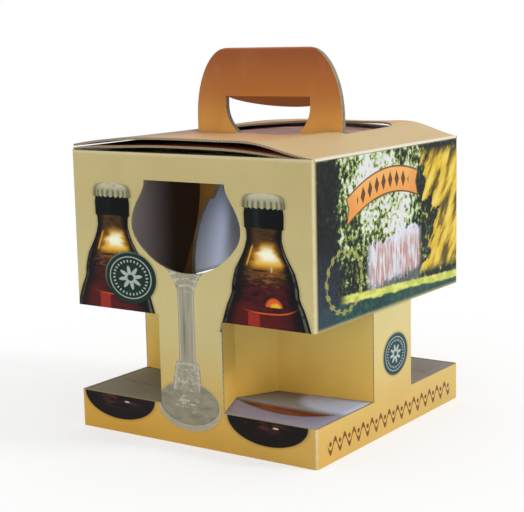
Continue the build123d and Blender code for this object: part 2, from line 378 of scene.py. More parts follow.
@dataclass(frozen=True)
class PrintGround:
    """The flood of colour that the outside of the board is printed with."""

    foot: Colour = paint(210, 162, 66)
    far_foot: Colour = paint(203, 171, 98)
    waist: Colour = paint(202, 188, 132)
    crown: Colour = paint(194, 178, 124)
    # Strip colours brighter than the outer print: painted light against the shade of the recesses.
    lit_recess_foot: Colour = paint(237, 192, 92)
    lit_recess: Colour = paint(230, 202, 114)
    scuff: Colour = paint(214, 203, 170)
    tray_height: float = 26.0
    waist_height: float = 88.0
    crown_height: float = 190.0
    edge: float = 104.0
    fold_top: float = 207.5
    wear: float = 1.4
    cloud: float = 0.05
    flute: float = 3.1

    def clouded(self, g: Graph, colour: Value, size: float) -> Value:
        """Darkens a colour a little in large soft blotches."""
        return g.shade(colour, g.noise(size, 2).ease(0.35, 0.7) * self.cloud)

    def colour(self, g: Graph) -> Value:
        """Amber at the foot, paler to the back right, straw above and khaki at the crown.

        Args:
            g: The material's graph.

        Returns:
            The colour of the flood print.
        """
        far = ((g.x + g.y) / (2 * self.edge)).ease(-0.9, 0.9)
        full = g.coats(
            self.foot,
            (far, self.far_foot),
            ((g.z / self.waist_height).ease(0.05, 1), self.waist),
            (g.z.ease(self.waist_height, self.crown_height), self.crown),
        )
        return self.clouded(g, full, 45)

    def inner_colour(self, g: Graph) -> Value:
        """The stronger amber of the pushed-in strips, brightened as painted light against the
        shade of the recesses.
        """
        rise = g.z.ease(self.tray_height, self.waist_height)
        return self.clouded(g, g.mix(rise, self.lit_recess_foot, self.lit_recess), 30)

    def scuffed(self, g: Graph, colour: Value) -> Value:
        """Wears the print off along the upright folds and the folds of the lid.

        Args:
            g: The material's graph.
            colour: The unworn print.

        Returns:
            The print with its worn edges.
        """
        corner = abs(g.x).low(abs(g.y)) + g.noise(3, 4) * 1.6 - 0.8
        top = g.z + g.noise(5, 4) * 2 - 1
        worn = corner.ease(self.edge - self.wear - 0.6, self.edge - 0.4)
        worn = worn.high(top.ease(self.fold_top - 2 * self.wear, self.fold_top - 0.6) * 0.75)
        return g.mix(worn * 0.8, colour, self.scuff)

    def relief(self, g: Graph) -> Value:
        """Faint flutes that show through the liner, with the grain of the paper."""
        flutes = ((g.x + g.y) * (2 * math.pi / self.flute)).sin() * 0.5 + 0.5
        return flutes * 0.3 + g.noise(0.9, 3) * 0.7


@dataclass(frozen=True)
class BottlePicture:
    """Printed picture of a plain brown bottle that runs off the lower edge of the band."""

    centre: float
    lift: float = 0.0
    start: float = 86.0
    outline: Stops = (
        (86.0, 38.4), (95.8, 35.5), (101.6, 33.6), (107.4, 31.4), (112.0, 29.0), (115.5, 27.7),
        (121.5, 27.2), (127.0, 25.8), (132.0, 24.2), (138.0, 20.6), (143.0, 17.7), (147.5, 15.8),
        (153.0, 14.2), (158.0, 14.4), (160.1, 14.8), (160.7, 15.9), (170.0, 16.2), (173.8, 15.6),
        (174.3, 17.6), (178.0, 17.2), (181.0, 16.2), (182.8, 14.0), (183.8, 9.0), (184.2, 2.0),
    )
    foil_foot: float = 160.6
    cap_foot: float = 174.0
    cap_top: float = 184.0
    teeth: int = 21
    shoulder: float = 127.0
    dome_side: float = 2.4
    dome_foot: float = 135.4
    dome_top: float = 152.0
    dome_half: float = 14.4
    dome_taper: float = 9.5
    haze: Spot = ((1.4, 139.4), (19.0, 13.0))
    streak: Pair = (-9.8, 147.9)
    streak_lean: float = 0.38
    dash: Spot = ((-4.4, 131.9), (7.2, 0.8))
    glint: Spot = ((5.6, 133.2), (0.9, 2.3))
    ember: Spot = ((6.9, 107.6), (7.4, 6.6))
    line_height: float = 102.8
    line_curve: Pair = (0.003, 0.000007)
    panel: float = -9.6
    rims: Pair = (-0.93, 0.91)
    black: Colour = paint(12, 9, 11)
    smoke: Colour = paint(78, 52, 24)
    umber: Colour = paint(120, 82, 46)
    maroon: Colour = paint(76, 24, 26)
    wine: Colour = paint(92, 20, 20)
    red: Colour = paint(152, 42, 34)
    orange: Colour = paint(214, 92, 40)
    amber: Colour = paint(176, 112, 34)
    gold: Colour = paint(228, 178, 48)
    light: Colour = paint(246, 250, 226)
    rim: Colour = paint(136, 136, 126)
    foil: Colour = paint(2, 4, 5)
    foil_sheen: Colour = paint(40, 50, 50)
    cap: Colour = paint(150, 148, 116)
    cap_light: Colour = paint(188, 185, 156)
    crimp: Colour = paint(92, 86, 58)

    def glow(self, g: Graph, beside: Value, up: Value, ripple: Value, colour: Value) -> Value:
        """The light that shines through the neck: a golden dome with a pale heart.

        Args:
            g: The material's graph.
            beside: Place across the bottle in millimetres.
            up: Height on the bottle.
            ripple: Wavy unevenness of the glass.
            colour: The glass without the light.

        Returns:
            The glass with the light in it.
        """
        tall = (up - self.dome_foot) / (self.dome_top - self.dome_foot)
        half = self.dome_half - tall.high(0.0) * self.dome_taper
        flame = abs(beside - self.dome_side) / half + ripple * 1.1 - 0.55
        haze = g.oval(beside, up, *self.haze) + ripple - 0.5
        dome = flame.ease(1.15, 0.5) * tall.ease(-0.16, 0.1) * tall.ease(1.05, 0.55)
        heart = flame.ease(0.9, 0.25) * tall.ease(0.04, 0.34) * tall.ease(0.9, 0.5)
        slant = self.streak[0] - (self.streak[1] - up) * self.streak_lean
        streak = beside.near(slant, 1.0, 0.3) * up.ease(134, 137) * up.ease(150, 147)
        return g.coats(
            colour,
            (haze.ease(1.15, 0.3) * 0.75, self.amber),
            (dome, self.gold),
            (heart * 0.92, self.light),
            (streak * 0.8, self.gold),
            (g.oval(beside, up, *self.dash).ease(1.3, 0.6) * 0.85, self.black),
            (g.oval(beside, up, *self.glint).ease(1.2, 0.6) * 0.8, self.cap_light),
        )

    def base_light(self, g: Graph, beside: Value, up: Value, ripple: Value, colour: Value
                   ) -> Value:
        """Red light low in the bottle, with a thin bright line and an ember above it.

        Args:
            g: The material's graph.
            beside: Place across the bottle in millimetres.
            up: Height on the bottle.
            ripple: Wavy unevenness of the glass.
            colour: The glass without the light.

        Returns:
            The glass with the light in it.
        """
        square = beside * beside
        curve, steepening = self.line_curve
        line = self.line_height + square * curve + square * square * steepening
        below = (line - up).ease(-0.2, 1.4)
        flush = (beside.ease(-5, -13) * up.ease(113, 105)).high(below * beside.ease(22, 8))
        bright = up.near(line, 0.75, 0.25) * beside.ease(-21, -2) * abs(beside).ease(28, 26)
        ember = g.oval(beside, up, *self.ember) + ripple * 0.5 - 0.25
        over = (up - self.ember[0][1]).ease(-0.4, 0.5)
        mottled = ripple.ease(0.25, 0.5) * 0.3 + 0.7
        return g.coats(
            colour,
            (flush * 0.6, self.wine),
            (beside.near(self.panel, 5.2, 4.4) * below * mottled, self.red),
            (bright * 0.9, self.orange),
            (ember.ease(1.05, 0.7) * over, self.orange),
            ((ember + ripple - 0.5).ease(0.6, 0.3) * over, self.gold),
        )

    def glass(self, g: Graph, beside: Value, up: Value, share: Value) -> Value:
        """The glass, black at its sides and lit through from behind.

        Args:
            g: The material's graph.
            beside: Place across the bottle in millimetres.
            up: Height on the bottle.
            share: Place across the bottle, -1 to 1 between its sides.

        Returns:
            The colour of the glass.
        """
        ripple = g.noise(5, 5, (2.0, 1.0, 1.0))
        fine = g.noise(2.0, 3, (3.2, 1.0, 1.0))
        inwards = 1 - abs(share)
        deep = g.mix(up.ease(self.shoulder + 5, self.shoulder - 7), self.smoke, self.maroon)
        warm = inwards.ease(0.1, 0.62) * (ripple * 0.5 + fine * 0.5).ease(0.3, 0.6)
        ripples = up.ease(119, 125) * up.ease(138, 131) * fine.ease(0.5, 0.62)
        colour = g.coats(self.black, (warm, deep), (ripples * inwards * 0.9, self.umber))
        colour = self.glow(g, beside, up, ripple, colour)
        colour = self.base_light(g, beside, up, ripple, colour)
        left, right = self.rims
        left = share.near(left, 0.04, 0.015) * up.ease(140, 128) * ripple.ease(0.35, 0.6)
        right = share.near(right, 0.045, 0.015) * up.ease(154, 146) * ripple.ease(0.3, 0.55)
        return g.coats(
            colour,
            (share.near(-0.03, 0.58, 0.86) * 0.92, self.black),
            ((right * 0.35).high(left * 0.16), self.rim),
        )

    def closure(self, g: Graph, up: Value, share: Value, colour: Value) -> Value:
        """Black foil round the neck, and the crimped cap on top.

        Args:
            g: The material's graph.
            up: Height on the bottle.
            share: Place across the bottle, -1 to 1 between its sides.
            colour: What the foil and the cap go over.

        Returns:
            The colour with both on it.
        """
        sheen = share.near(-0.35, 0.3, 0.0) * g.noise(6, 3, (1.0, 1.0, 4.0)).ease(0.4, 0.6)
        foil = g.mix(sheen * 0.35, self.foil, self.foil_sheen)
        teeth = (share.asin() * self.teeth).sin()
        ruffle = up.ease(self.cap_foot + 6.6, self.cap_foot + 3.2)
        cap = g.coats(
            self.cap,
            (up.ease(self.cap_foot + 3, self.cap_top - 1.5), self.cap_light),
            (teeth.ease(0.0, 0.9) * ruffle * 0.75, self.crimp),
            (teeth.ease(-0.4, -0.95) * ruffle * 0.5, self.cap_light),
            (abs(share).ease(0.62, 1.0) * 0.7, self.crimp),
            (g.noise(3, 3).ease(0.55, 0.7) * 0.3, self.crimp),
        )
        return g.coats(
            colour,
            ((up - self.foil_foot).ease(-0.3, 0.3), foil),
            ((up - self.cap_foot - teeth * 0.45).ease(-0.3, 0.35), cap),
        )

    def over(self, g: Graph, ground: Value) -> Value:
        """Prints the bottle over a ground.

        Args:
            g: The material's graph.
            ground: The colour below the print.

        Returns:
            The ground with the bottle on it.
        """
        up = g.z - self.lift
        half = up.profile(self.outline)
        beside = g.x - self.centre
        past = abs(beside) - half
        share = (beside / half).high(-1.0).low(1.0)
        upright = (up > self.start) * (up < self.outline[-1][0])
        colour = self.closure(g, up, share, self.glass(g, beside, up, share))
        halo = g.shade(ground, past.ease(3.0, 0.0) * upright * 0.25)
        return g.mix(past.ease(0.35, -0.35) * upright, halo, colour)


@dataclass(frozen=True)
class BasePicture:
    """Printed foot of a bottle, which hangs from the edge of the tray."""

    centre: float
    half_width: float = 33.8
    top: float = 27.8
    depth: float = 18.0
    glass: Colour = paint(20, 15, 14)
    warmth: Colour = paint(86, 44, 34)
    glint: Colour = paint(206, 192, 176)
    glint_place: Pair = (7.0, 4.0)
    glint_radii: Pair = (2.6, 0.7)

    def over(self, g: Graph, ground: Value) -> Value:
        """Prints the bottle foot over a ground.

        Args:
            g: The material's graph.
            ground: The colour below the print.

        Returns:
            The ground with the foot on it.
        """
        reach = g.oval(g.x, g.z, (self.centre, self.top), (self.half_width, self.depth))
        below = g.z.ease(self.top + 0.6, self.top - 0.2)
        streaks = g.noise(6, 3, (2.4, 1.0, 0.6)).ease(0.42, 0.7)
        upper = g.z.ease(self.top - 12, self.top - 3) * g.x.near(self.centre, 26, 4)
        beside, down = self.glint_place
        glint = g.oval(g.x, g.z, (self.centre + beside, self.top - down), self.glint_radii)
        colour = g.coats(
            self.glass, (streaks * upper, self.warmth), (glint.ease(1.2, 0.6) * 0.85, self.glint))
        halo = g.shade(ground, reach.ease(1.12, 1.0) * below * 0.2)
        return g.mix(reach.ease(1.01, 0.97) * below, halo, colour)


@dataclass(frozen=True)
class GlassPicture:
    """Printed stem and foot of a glass, whose bowl is the window above."""

    centre: float = -2.8
    stem: Stops = (
        (40.0, 12.6), (44.0, 12.4), (54.0, 11.4), (58.8, 10.6), (61.0, 9.0), (62.5, 7.4),
        (66.0, 7.2), (106.0, 7.1), (111.0, 7.4), (115.0, 8.6), (119.0, 10.4), (123.0, 13.2),
        (125.5, 15.2), (127.5, 18.5),
    )
    lean: float = 0.07
    knob_top: float = 60.0
    collar_foot: float = 111.0
    ring_pitch: float = 4.6
    foot_centre: Pair = (-2.7, 29.0)
    foot_radii: Pair = (27.7, 18.0)
    heart_radii: Pair = (12.0, 8.0)
    cover: float = 0.94
    glass: Colour = paint(146, 143, 126)
    streak: Colour = paint(160, 156, 140)
    clear: Colour = paint(192, 191, 176)
    dim: Colour = paint(104, 99, 80)
    foot_glass: Colour = paint(132, 128, 112)
    foot_swirl: Colour = paint(158, 155, 138)

    def column(self, g: Graph, share: Value) -> Value:
        """The stem with its collar above and its knob below.

        Args:
            g: The material's graph.
            share: Place across the stem, -1 to 1 between its sides.

        Returns:
            The colour of the stem.
        """
        streaks = g.noise(1.8, 3, (1.0, 1.0, 14.0))
        blobs = g.noise(2.8, 4, (1.5, 1.0, 1.0))
        bow = share * share
        core = share.near(-0.3, 0.22, 0.05) * g.z.ease(62, 70) * g.z.ease(112, 84)
        rings = ((g.z + bow * 2.2) * (2 * math.pi / self.ring_pitch)).sin().ease(0.0, 0.9)
        collar = g.z.ease(self.collar_foot - 1, self.collar_foot + 3)
        knob = g.z.ease(self.knob_top + 1, self.knob_top - 2)
        shelf = g.z.near(self.knob_top - bow * 2.0, 1.0, 0.3)
        return g.coats(
            self.glass,
            (streaks.ease(0.38, 0.64), self.streak),
            (core * streaks.ease(0.35, 0.55) * 0.8, self.dim),
            (abs(share).ease(0.72, 0.86) * 0.6, self.clear),
            (abs(share).ease(0.9, 0.98) * 0.8, self.dim),
            (rings * collar * blobs.ease(0.38, 0.55) * 0.85, self.clear),
            (blobs.ease(0.42, 0.3) * collar * 0.7, self.dim),
            (blobs.ease(0.52, 0.64) * knob * 0.7, self.clear),
            (blobs.ease(0.42, 0.32) * knob * 0.45, self.dim),
            (shelf * 0.6, self.clear),
        )

    def foot(self, g: Graph) -> Value:
        """The round foot, seen at a slant, with a pale double rim.

        Args:
            g: The material's graph.

        Returns:
            The colour of the foot.
        """
        middle, height = self.foot_centre
        wide, tall = self.foot_radii
        swirl = g.noise(5, 4, (1.6, 1.0, 0.8))
        inner = g.oval(g.x, g.z, (middle, height + 2.2), (wide * 0.96, tall * 0.88))
        heart = g.oval(g.x, g.z, (middle - 1, height + 2), self.heart_radii)
        outer = g.oval(g.x, g.z, self.foot_centre, self.foot_radii)
        sparks = heart.ease(1.2, 0.5) * g.noise(2.4, 4, (1.8, 1.0, 0.8)).ease(0.52, 0.62)
        return g.coats(
            self.foot_glass,
            (swirl.ease(0.4, 0.66) * 0.5, self.foot_swirl),
            (swirl.ease(0.42, 0.34) * 0.35, self.dim),
            (inner.ease(0.97, 1.01) * 0.45, self.clear),
            (inner.near(0.98, 0.022, 0.008) * 0.7, self.dim),
            (sparks * 0.8, self.clear),
            (outer.ease(0.965, 0.99) * 0.5, self.clear),
        )

    def over(self, g: Graph, ground: Value) -> Value:
        """Prints the stem and the foot over a ground.

        Args:
            g: The material's graph.
            ground: The colour below the print.

        Returns:
            The ground with the glass on it.
        """
        half = g.z.profile(self.stem)
        beside = g.x - self.centre - (g.z - self.knob_top).low(0.0) * self.lean
        share = (beside / half).high(-1.0).low(1.0)
        upright = (g.z > self.stem[0][0]) * (g.z < self.stem[-1][0])
        inside = (abs(beside) - half).ease(0.3, -0.3) * upright
        reach = g.oval(g.x, g.z, self.foot_centre, self.foot_radii)
        return g.coats(
            g.shade(ground, reach.ease(1.1, 1.0) * 0.12),
            (reach.ease(1.01, 0.985) * self.cover, self.foot(g)),
            (inside * self.cover, self.column(g, share)),
        )


@dataclass(frozen=True)
class Roundel:
    """Plain printed disc with a pale ring and a rosette."""

    centre: Pair
    radii: Pair
    field: Colour = paint(20, 46, 38)
    pale: Colour = paint(190, 200, 190)
    edge: Colour = paint(112, 132, 118)
    ring: float = 0.8
    bead_ring: float = 0.64
    beads: int = 30
    petals: int = 8
    petal: float = 0.33
    petal_wave: float = 0.13

    def over(self, g: Graph, across: Value, ground: Value) -> Value:
        """Prints the disc over a ground.

        Args:
            g: The material's graph.
            across: Place along the wall.
            ground: The colour below the print.

        Returns:
            The ground with the disc on it.
        """
        beside = (across - self.centre[0]) / self.radii[0]
        above = (g.z - self.centre[1]) / self.radii[1]
        reach = g.oval(across, g.z, self.centre, self.radii)
        angle = above.math("ARCTAN2", beside)
        leaf = (angle * self.petals).sin() * self.petal_wave + self.petal
        rosette = (reach - leaf).ease(0.03, -0.03) * reach.ease(0.10, 0.15)
        ring = reach.near(self.ring, 0.03, 0.01)
        beads = (angle * self.beads).sin().ease(0.1, 0.5) * reach.near(self.bead_ring, 0.06, 0.03)
        light = (above - beside).ease(0.1, 1.3)
        colour = g.coats(
            self.field,
            ((rosette * 0.75).high(ring * 0.7).high(beads * 0.75), self.pale),
            (reach.ease(0.93, 0.98) * light * 0.8, self.edge),
        )
        shadow = g.shade(ground, reach.ease(1.12, 1.0) * 0.35)
        return g.mix(reach.ease(1.01, 0.98), shadow, colour)


@dataclass(frozen=True)
class Wreath:
    """Thin printed wreath of pale leaves."""

    place: Spot = ((-66.0, 122.0), (25.0, 23.0))
    ring: float = 0.92
    leaves: int = 16
    leaf: Colour = paint(158, 156, 84)

    def over(self, g: Graph, ground: Value) -> Value:
        """Prints the wreath over a ground.

        Args:
            g: The material's graph.
            ground: The colour below the print.

        Returns:
            The ground with the wreath on it.
        """
        middle, height = self.place[0]
        reach = g.oval(g.y, g.z, *self.place)
        angle = (g.z - height).math("ARCTAN2", g.y - middle)
        leaves = (angle * self.leaves + reach * 9).sin().ease(-0.2, 0.4)
        band = reach.near(self.ring, 0.11, 0.07) * leaves
        stem = reach.near(self.ring, 0.03, 0.015)
        return g.mix(band.high(stem) * 0.7, ground, self.leaf)


@dataclass(frozen=True)
class Ribbon:
    """Plain printed ribbon in an arch, with a row of lozenges."""

    centre: Pair = (-12.0, 184.0)
    half: float = 9.6
    reach: float = 48.0
    arch: float = 0.0042
    tilt: float = 0.1
    pitch: float = 9.5
    row: float = 37.0
    gold: Colour = paint(214, 146, 74)
    pale: Colour = paint(222, 172, 104)
    dark: Colour = paint(190, 116, 54)
    ink: Colour = paint(58, 34, 22)

    def over(self, g: Graph, ground: Value) -> Value:
        """Prints the ribbon over a ground.

        Args:
            g: The material's graph.
            ground: The colour below the print.

        Returns:
            The ground with the ribbon on it.
        """
        along = g.y - self.centre[0]
        up = g.z - self.centre[1] + along * along * self.arch - along * self.tilt
        tail = abs(along) - self.reach - abs(up) * 0.35
        band = (abs(up) - self.half).ease(0.3, -0.3) * tail.ease(0.4, -0.4)
        edge = (abs(up) - self.half).ease(-1.5, -0.9).high(tail.ease(-1.6, -1.0))
        place = (along / self.pitch + 0.5).math("FRACT") - 0.5
        lozenge = (abs(place) * self.pitch * 1.9 + abs(up)).ease(6.6, 5.6)
        lozenge = lozenge * abs(along).ease(self.row, self.row - 1)
        colour = g.coats(
            self.gold,
            (up.ease(-self.half, self.half) * 0.5, self.pale),
            (abs(along).ease(self.reach - 14, self.reach - 4) * 0.35, self.dark),
            (lozenge * 0.9, self.ink),
            (edge * 0.85, self.ink),
        )
        return g.mix(band, ground, colour)


@dataclass(frozen=True)
class FieldPicture:
    """Generic printed view through leafy trees to pale hills, with ripe barley beside."""

    left: float = -103.0
    right: float = 103.0
    foot: float = 91.0
    top: float = 207.0
    foliage: Tones = (
        (0.0, paint(12, 18, 18)), (0.34, paint(26, 34, 28)), (0.45, paint(72, 92, 44)),
        (0.54, paint(140, 160, 82)), (0.6, paint(178, 188, 150)), (0.7, paint(202, 204, 204)),
        (1.0, paint(208, 206, 212)),
    )
    straw: Tones = (
        (0.0, paint(52, 48, 22)), (0.3, paint(120, 100, 32)), (0.5, paint(186, 152, 40)),
        (0.8, paint(206, 176, 52)), (1.0, paint(214, 192, 96)),
    )
    trunk: Colour = paint(176, 122, 112)
    mist: Colour = paint(206, 208, 218)
    meadow: Colour = paint(176, 184, 78)
    sunlit: Colour = paint(206, 208, 112)
    water: Colour = paint(26, 62, 62)
    weed: Colour = paint(70, 106, 76)
    dusk: Colour = paint(46, 56, 72)
    thick: float = 0.31
    openings: tuple[tuple[Spot, Pair, float], ...] = (
        (((2.0, 164.0), (44.0, 42.0)), (1.3, 0.3), 0.34),
        (((-22.0, 200.0), (34.0, 20.0)), (1.3, 0.3), 0.24),
        (((-52.0, 170.0), (26.0, 52.0)), (1.25, 0.3), 0.23),
        (((60.0, 178.0), (26.0, 42.0)), (1.25, 0.4), -0.14),
    )
    ridge: float = 146.0
    hedge: float = 113.0
    bank: float = 108.6
    bank_depth: float = 5.4
    ear_lean: float = math.radians(-42)
    wreath: Wreath = Wreath()
    ribbon: Ribbon = Ribbon()

    def trees(self, g: Graph, fine: Value, broad: Value) -> Value:
        """Foliage that is dark to the left and right and lets the sky through between.

        Args:
            g: The material's graph.
            fine: Leaves.
            broad: Branches.

        Returns:
            The colour of the trees and the sky.
        """
        light = self.thick - g.y.ease(-68, -84) * 0.3
        for spot, soft, weight in self.openings:
            light = light + g.oval(g.y, g.z, *spot).ease(*soft) * weight
        light = light + (fine - 0.5) * 1.45 + (broad - 0.5) * 0.8
        return g.tones(light.high(0.0).low(1.0), self.foliage)

    def distance(self, g: Graph, fine: Value, colour: Value) -> Value:
        """A far grove of pale trunks in front of misty hills.

        Args:
            g: The material's graph.
            fine: Leaves.
            colour: The colour behind.

        Returns:
            The colour with the grove on it.
        """
        ridge = self.ridge + (g.y * 0.07).sin() * 4 + (fine - 0.5) * 22
        far = g.y.near(4, 42, 32) * (g.z - ridge).ease(2, -3)
        trunks = g.noise(2.4, 3, (1.0, 1.0, 7.0)).ease(0.42, 0.6)
        hedge = (g.z - self.hedge - g.y * 0.06 - (fine - 0.5) * 16).ease(3.5, -2.5)
        grove = g.coats(
            self.mist,
            (trunks * g.z.ease(148, 134) * 0.85, self.trunk),
            (hedge * 0.85, self.water),
        )
        return g.mix(far * 0.9, colour, grove)

    def barley(self, g: Graph, broad: Value, colour: Value) -> Value:
        """Ripe ears that lean in from the right.

        Args:
            g: The material's graph.
            broad: Branches.
            colour: The colour behind.

        Returns:
            The colour with the ears on it.
        """
        ears = g.noise(8.0, 5, (1.0, 1.0, 3.2), (self.ear_lean, 0, 0))
        reach = g.y - 66 + abs(g.z - 152) * 0.42 + (broad - 0.5) * 60 + (ears - 0.5) * 60
        stand = reach.ease(-2, 2) * g.z.ease(203, 194) * g.z.ease(108, 116)
        return g.mix(stand, colour, g.tones(ears.ease(0.3, 0.68), self.straw))

    def shore(self, g: Graph, fine: Value, broad: Value, colour: Value) -> Value:
        """A sunlit meadow with dark water in front, and dusk low on the left.

        Args:
            g: The material's graph.
            fine: Leaves.
            broad: Branches.
            colour: The colour behind.

        Returns:
            The colour with the foreground on it.
        """
        bank = self.bank - g.y * 0.05 + (fine - 0.5) * 2.4
        edge = bank - self.bank_depth + (broad - 0.5) * 5
        grass = g.mix(g.noise(4, 5, (1.0, 3.0, 1.0)).ease(0.42, 0.6), self.meadow, self.sunlit)
        deep = g.mix(fine.ease(0.45, 0.62) * 0.4, self.water, self.weed)
        gloom = g.y.ease(-58, -92) * g.z.ease(160, 112)
        return g.coats(
            colour,
            ((g.z - bank).ease(0.8, -0.8) * g.y.ease(-74, -60), grass),
            ((g.z - edge).ease(0.8, -1.0), deep),
            (gloom * (fine.ease(0.3, 0.6) * 0.4 + 0.4), self.dusk),
        )

    def over(self, g: Graph, ground: Value) -> Value:
        """Prints the view over a ground, with soft borders.

        Args:
            g: The material's graph.
            ground: The colour below the print.

        Returns:
            The ground with the picture on it.
        """
        fine = g.noise(3.4, 7)
        broad = g.noise(22, 4)
        colour = self.distance(g, fine, self.trees(g, fine, broad))
        colour = self.shore(g, fine, broad, self.barley(g, broad, colour))
        colour = self.ribbon.over(g, self.wreath.over(g, colour))
        fade = g.y.ease(self.left, self.left + 4) * g.y.ease(self.right, self.right - 2)
        fade = fade * g.z.ease(self.foot, self.foot + 5) * g.z.ease(self.top, self.top - 1.6)
        return g.mix(fade, ground, colour)


@dataclass(frozen=True)
class ScrollBorder:
    """Generic printed running scroll along the side of the tray."""

    middle: float = 11.8
    shift: float = 3.5
    swing: float = 4.4
    pitch: float = 12.5
    half_length: float = 91.0
    bead: float = 1.9
    ink: Colour = paint(104, 46, 26)

    def over(self, g: Graph, ground: Value) -> Value:
        """Prints the scroll over a ground.

        Args:
            g: The material's graph.
            ground: The colour below the print.

        Returns:
            The ground with the scroll on it.
        """
        turn = (g.y - self.shift) / self.pitch
        wave = (turn * (2 * math.pi)).sin()
        stroke = 1.0 + abs(wave) * 0.9
        line = (abs(g.z - self.middle - wave * self.swing) - stroke).ease(0.25, -0.25)
        place = (turn - 0.25).math("FRACT") - 0.5
        bead = ((place * self.pitch) ** 2 + (g.z - self.middle - self.swing * 0.4) ** 2) ** 0.5
        ends = abs(g.y).ease(self.half_length, self.half_length - 1.0)
        inked = line.high(bead.ease(self.bead, self.bead - 0.4)) * ends
        return g.mix(inked * 0.9, ground, self.ink)


@dataclass(frozen=True)
class Finish:
    """Finish of one side of the board, which is the flood print where nothing else is."""

    ground: PrintGround = PrintGround()
    roughness: float = 0.5
    depth: float = 0.03

    def colour(self, g: Graph) -> Value:
        """Colour of the surface."""
        return self.ground.colour(g)

    def relief(self, g: Graph) -> Value:
        """Relief of the surface, in shares of its depth."""
        return self.ground.relief(g)

    def material(self, name: str) -> bpy.types.Material:
        """Makes the finish's material."""
        g = Graph(name)
        return g.surface(self.colour(g), self.roughness, self.relief(g), self.depth)


@dataclass(frozen=True)
class FrontPrint(Finish):
    """Front and back walls: two bottles, the stem of the glass and a roundel."""

    pictures: tuple[BottlePicture | BasePicture | GlassPicture, ...] = (
        BottlePicture(-67.2, lift=1.0), BasePicture(-67.3), BottlePicture(64.8), BasePicture(64.0),
        GlassPicture(),
    )
    disc: Roundel = Roundel((-52.4, 117.2), (23.8, 18.9))

    def colour(self, g: Graph) -> Value:
        """Prints the pictures in their order, and wears the edges.

        Args:
            g: The material's graph.

        Returns:
            The colour of the walls.
        """
        colour = self.ground.colour(g)
        for picture in self.pictures:
            colour = picture.over(g, colour)
        return self.ground.scuffed(g, self.disc.over(g, g.x, colour))


@dataclass(frozen=True)
class FlankPrint(Finish):
    """Right and left walls: the view above, a roundel and the scroll."""

    view: FieldPicture = FieldPicture()
    disc: Roundel = Roundel((3.9, 57.0), (17.9, 15.5), field=paint(34, 66, 72))
    border: ScrollBorder = ScrollBorder()

    def colour(self, g: Graph) -> Value:
        """Prints the pictures and wears the edges."""
        colour = self.disc.over(g, g.y, self.view.over(g, self.ground.colour(g)))
        return self.ground.scuffed(g, self.border.over(g, colour))


@dataclass(frozen=True)
class StripPrint(Finish):
    """Pushed-in strips: the flood colour in a stronger amber, brightened as painted light against
    the shade of the recesses.
    """

    def colour(self, g: Graph) -> Value:
        """Colour of the strips."""
        return self.ground.inner_colour(g)


@dataclass(frozen=True)
class UnderLidPrint(Finish):
    """Lower lid flap: rust in front and dusty pink behind, with lighter streaks of painted sheen.
    """

    rust: Colour = paint(150, 62, 34)
    # Lighter colours of the painted sheen.
    rust_sheen: Colour = paint(196, 120, 84)
    pink: Colour = paint(140, 100, 92)
    pink_sheen: Colour = paint(186, 150, 136)

    def colour(self, g: Graph) -> Value:
        """Goes from rust to pink.

        Args:
            g: The material's graph.

        Returns:
            The colour of the flap.
        """
        # The lighter streaks are painted sheen.
        rubbed = g.noise(14, 5, (3.0, 0.7, 1.0)).ease(0.44, 0.68)
        front = g.mix(rubbed, self.rust, self.rust_sheen)
        return g.mix(g.y.ease(-70, -20), front, g.mix(rubbed, self.pink, self.pink_sheen))


@dataclass(frozen=True)
class LidPrint(Finish):
    """Upper lid flap: khaki slope, tan flat part, greyer to the left, torn at the slot, with a
    painted shadow line along the back edge.
    """

    depth: float = 0.05
    tan: Colour = paint(199, 150, 100)
    grey: Colour = paint(148, 122, 106)
    sand: Colour = paint(204, 166, 124)
    khaki: Colour = paint(196, 170, 124)
    rubbed: Colour = paint(200, 176, 138)
    rust: Colour = paint(190, 126, 78)
    torn: Colour = paint(104, 56, 46)
    crease: Colour = paint(216, 212, 196)
    # Painted shadow line along the back edge of the flap.
    rear_shadow: Colour = paint(74, 62, 50)
    tear_line: float = -8.6

    def colour(self, g: Graph) -> Value:
        """Blends the parts of the flap.

        Args:
            g: The material's graph.

        Returns:
            The colour of the flap.
        """
        flat = (g.x + g.y * -0.06).ease(64, 58)
        tan = g.coats(
            self.tan,
            (g.x.ease(-16, -70), self.grey),
            (g.y.ease(-60, -104) * g.x.ease(-60, 10) * 0.35, self.sand),
        )
        rust = g.noise(20, 3).ease(0.5, 0.66) * flat * g.y.ease(-80, -40)
        tear = g.noise(4, 5, (2.4, 1.0, 1.0)) * 5
        torn = (g.y - self.tear_line + tear).ease(1.4, 2.4) * g.x.ease(-9, -3) * g.x.ease(64, 52)
        return g.coats(
            self.khaki,
            (flat, tan),
            (g.noise(34, 4).ease(0.38, 0.66) * 0.15, self.rubbed),
            (rust * 0.35, self.rust),
            (torn * g.y.ease(-1.0, -3.0) * 0.85, self.torn),
            (g.x.near(self.ground.edge, 2.2, 0.6) * 0.85, self.crease),
            # Painted shadow along the back edge.
            (g.y.ease(101.6, 103.2) * 0.8, self.rear_shadow),
        )


@dataclass(frozen=True)
class HandlePrint(Finish):
    """Handle: copper at the fold, through orange to amber where it leaves the lid."""

    hidden: Colour = paint(120, 76, 26)
    amber: Colour = paint(232, 170, 84)
    orange: Colour = paint(184, 114, 55)
    copper: Colour = paint(154, 86, 46)
    brown: Colour = paint(148, 80, 46)
    rubbed: Colour = paint(196, 140, 96)
    crown: Colour = paint(196, 140, 104)

    def colour(self, g: Graph) -> Value:
        """Blends the colours up the handle.

        Args:
            g: The material's graph.

        Returns:
            The colour of the handle.
        """
        rubbed = g.noise(18, 4, (1.0, 1.0, 2.0)).ease(0.5, 0.72)
        return g.coats(
            self.hidden,
            (g.z.ease(120, 214), self.amber),
            (g.z.ease(212, 252), self.orange),
            (g.z.ease(246, 276), self.copper),
            (g.x.ease(10, 62) * g.z.ease(216, 240) * 0.12, self.brown),
            (rubbed * 0.12, self.rubbed),
            (g.z.ease(276.6, 277.8) * 0.4, self.crown),
        )


